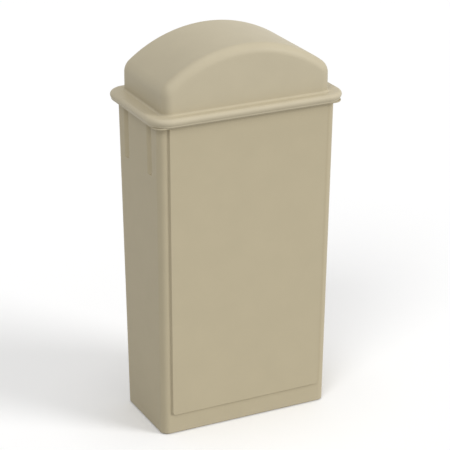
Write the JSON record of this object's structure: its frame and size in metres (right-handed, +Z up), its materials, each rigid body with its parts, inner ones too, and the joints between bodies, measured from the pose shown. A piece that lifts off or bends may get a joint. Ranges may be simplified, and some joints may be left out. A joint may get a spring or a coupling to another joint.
{
  "type": "dome top waste receptacle",
  "caption": "Slim rectangular waste container with raised side panels, a lift-off dome hood and an inward-swinging door over its mouth.",
  "frame": {"origin": "on the floor, under the middle of the base", "axes": "+Z up; X along the long side; -Y is the plain long side seen in the picture, +Y the side with the mouth and the door"},
  "size_m": [0.515, 0.3006, 0.982],
  "materials": {
    "container_plastic": "beige moulded polyethylene, fine satin grain",
    "hood_plastic": "beige moulded polyethylene, fine satin grain",
    "door_plastic": "beige moulded polyethylene, fine satin grain",
    "bracket_plastic": "beige moulded nylon, satin",
    "rod_steel": "zinc plated steel",
    "rivet_aluminium": "plain aluminium",
    "bumper_rubber": "matte rubber"
  },
  "bodies": {
    "container": {"container": "container_plastic"},
    "lid": {"dome_hood": "hood_plastic", "hinge_rod": "rod_steel", "hinge_bracket_left": "bracket_plastic", "hinge_bracket_right": "bracket_plastic", "bracket_rivets": "rivet_aluminium", "rod_push_nuts": "rod_steel", "door_bumpers": "bumper_rubber"},
    "door": {"swing_door": "door_plastic"}
  },
  "joints": [
    {"name": "lid_lift", "type": "slide", "parent": "container", "child": "lid", "axis": [0, 0, 1], "range_m": [0, 0.25]},
    {"name": "door_swing", "type": "hinge", "parent": "lid", "child": "door", "pos_m": [0, 0.1114, 0.9331], "axis": [-1, 0, 0], "range_deg": [0, 70]}
  ]
}
